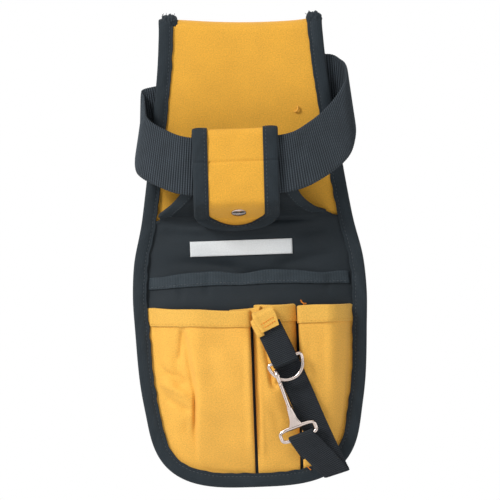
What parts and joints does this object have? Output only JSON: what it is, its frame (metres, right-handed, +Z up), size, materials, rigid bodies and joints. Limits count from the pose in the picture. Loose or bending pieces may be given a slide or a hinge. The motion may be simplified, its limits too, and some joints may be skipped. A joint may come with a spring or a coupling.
{
  "type": "electrician tool pouch",
  "caption": "Belt-worn tool pouch of yellow and black cloth with stacked pockets, a webbing tool loop, a snap tab and a tape strap with ring and snap hook.",
  "frame": {"origin": "middle of the belt tunnel's height and width, in the plane of the back panel's skin", "axes": "+Z up as worn, +X to the right seen from the front, -Y out of the pouch's front"},
  "size_m": [0.2022, 0.0683, 0.4067],
  "materials": {
    "yellow_cloth": "coated woven polyester, matt, fine plain weave",
    "black_cloth": "coated woven polyester, matt, fine plain weave",
    "binding_tape": "ribbed polyester binding tape",
    "webbing": "ribbed polypropylene webbing",
    "nickel": "nickel plated, polished",
    "reflective": "plain reflective film, satin",
    "board": "rough fibre board"
  },
  "bodies": {
    "pouch": {"back_panel": "yellow_cloth", "stiffener_board": "board", "rear_lining": "black_cloth", "middle_pocket_panel": "black_cloth", "upper_pocket_panel": "black_cloth", "lower_pocket_left": "yellow_cloth", "lower_pocket_middle": "yellow_cloth", "lower_pocket_right": "yellow_cloth", "edge_binding": "binding_tape", "neck_binding_left": "binding_tape", "neck_binding_right": "binding_tape", "tool_loop_band": "webbing", "snap_stud": "nickel", "snap_post": "nickel", "reflective_strip": "reflective", "strap_anchor_tab": "yellow_cloth"},
    "snap_tab": {"tab_flap": "yellow_cloth", "tab_binding": "binding_tape", "snap_cap": "nickel", "snap_socket": "nickel"},
    "hanging_strap": {"tape_strap": "webbing", "ring_keeper": "webbing"},
    "ring": {"d_ring": "nickel"},
    "snap_hook": {"hook_body": "nickel", "gate_pin": "nickel", "gate_spring": "nickel"},
    "spring_gate": {"hook_gate": "nickel"}
  },
  "joints": [
    {"name": "tab_fold", "type": "hinge", "parent": "pouch", "child": "snap_tab", "pos_m": [-0.007, -0.045, -0.0375], "axis": [-1, 0, 0], "range_deg": [0, 150]},
    {"name": "strap_swing", "type": "hinge", "parent": "pouch", "child": "hanging_strap", "pos_m": [0.0163, -0.0456, -0.2124], "axis": [-0.9336, 0, -0.3584], "range_deg": [0, 80]},
    {"name": "ring_swing", "type": "hinge", "parent": "hanging_strap", "child": "ring", "pos_m": [0.0275, -0.0424, -0.2375], "axis": [0.9336, 0, 0.3584], "range_deg": [-2, 2]},
    {"name": "hook_swing", "type": "hinge", "parent": "hanging_strap", "child": "snap_hook", "pos_m": [0.0404, -0.0424, -0.3048], "axis": [0.9489, 0, 0.3156], "range_deg": [-0.3, 1]},
    {"name": "gate_pivot", "type": "hinge", "parent": "snap_hook", "child": "spring_gate", "pos_m": [0.0324, -0.0456, -0.2861], "axis": [-0.95, 0, -0.3123], "range_deg": [0, 9], "stiffness_Nm_per_rad": 0.02, "springref_deg": -17.19, "deforming": ["gate_spring"]}
  ]
}
